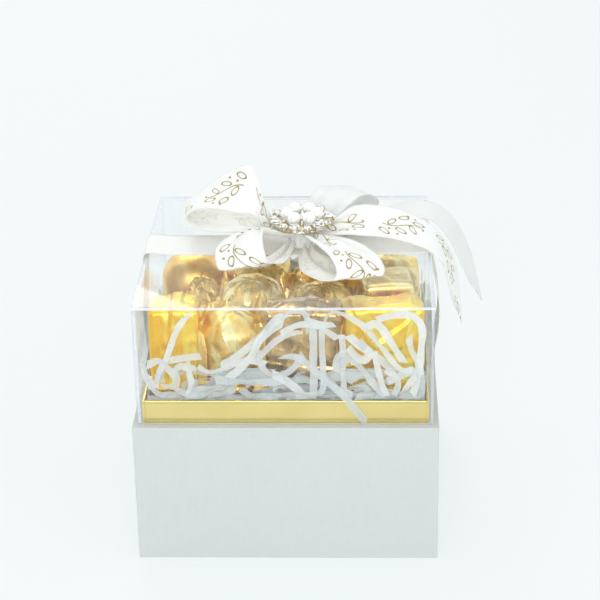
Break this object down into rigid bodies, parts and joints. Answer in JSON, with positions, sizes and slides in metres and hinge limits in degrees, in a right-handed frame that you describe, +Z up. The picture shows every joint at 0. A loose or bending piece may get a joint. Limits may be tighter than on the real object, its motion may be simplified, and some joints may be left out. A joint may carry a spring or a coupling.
{
  "type": "chocolate box",
  "caption": "Square gift box of foil-wrapped chocolates on shredded paper, with a linen-covered base, a gold foil neck, a clear lift-off lid, a ribbon band, a bow and a pearl brooch.",
  "frame": {"origin": "middle of the base's underside", "axes": "+Z up, -Y towards the front, +X to the right as seen from the front"},
  "size_m": [0.176, 0.15, 0.1764],
  "materials": {
    "linen_paper": "matte",
    "grey_board": "matte",
    "lining_paper": "matte",
    "stay_tape": "matte",
    "neck_foil": "gloss",
    "clear_acrylic": "gloss",
    "gold_foil": "gloss",
    "chocolate": "satin",
    "shredded_paper": "matte",
    "ribbon": "satin",
    "brooch_metal": "polished",
    "cut_stone": "polished",
    "pearl": "gloss"
  },
  "bodies": {
    "base": {"base_back_board": "grey_board", "base_bottom_paper": "linen_paper", "base_floor_board": "grey_board", "base_front_board": "grey_board", "base_left_board": "grey_board", "base_right_board": "grey_board", "base_wrap_paper": "linen_paper", "chocolate_cores": "chocolate", "corner_stay_tapes": "stay_tape", "floor_lining_paper": "lining_paper", "foil_chocolate_01": "gold_foil", "foil_chocolate_02": "gold_foil", "foil_chocolate_03": "gold_foil", "foil_chocolate_04": "gold_foil", "foil_chocolate_05": "gold_foil", "foil_chocolate_06": "gold_foil", "foil_chocolate_07": "gold_foil", "foil_chocolate_08": "gold_foil", "foil_chocolate_09": "gold_foil", "foil_chocolate_10": "gold_foil", "foil_chocolate_11": "gold_foil", "foil_chocolate_12": "gold_foil", "foil_chocolate_13": "gold_foil", "foil_chocolate_14": "gold_foil", "foil_chocolate_15": "gold_foil", "foil_chocolate_16": "gold_foil", "liner_back_board": "grey_board", "liner_front_board": "grey_board", "liner_left_board": "grey_board", "liner_right_board": "grey_board", "neck_back_panel": "neck_foil", "neck_front_panel": "neck_foil", "neck_left_panel": "neck_foil", "neck_right_panel": "neck_foil", "shred_bed": "shredded_paper"},
    "lid": {"bow_knot": "ribbon", "bow_loop_front_left": "ribbon", "bow_loop_front_right": "ribbon", "bow_loop_rear_left": "ribbon", "bow_loop_rear_right": "ribbon", "bow_tail_front": "ribbon", "bow_tail_rear": "ribbon", "brooch_cups": "brooch_metal", "brooch_large_stones": "cut_stone", "brooch_pearls": "pearl", "brooch_pegs": "brooch_metal", "brooch_plate": "brooch_metal", "brooch_shank": "brooch_metal", "brooch_small_stones": "cut_stone", "lid_back_panel": "clear_acrylic", "lid_front_panel": "clear_acrylic", "lid_left_panel": "clear_acrylic", "lid_right_panel": "clear_acrylic", "lid_top_panel": "clear_acrylic", "ribbon_band": "ribbon"}
  },
  "joints": [
    {"name": "lid_lift", "type": "slide", "parent": "base", "child": "lid", "axis": [0, 0, 1], "range_m": [0, 0.08]}
  ]
}
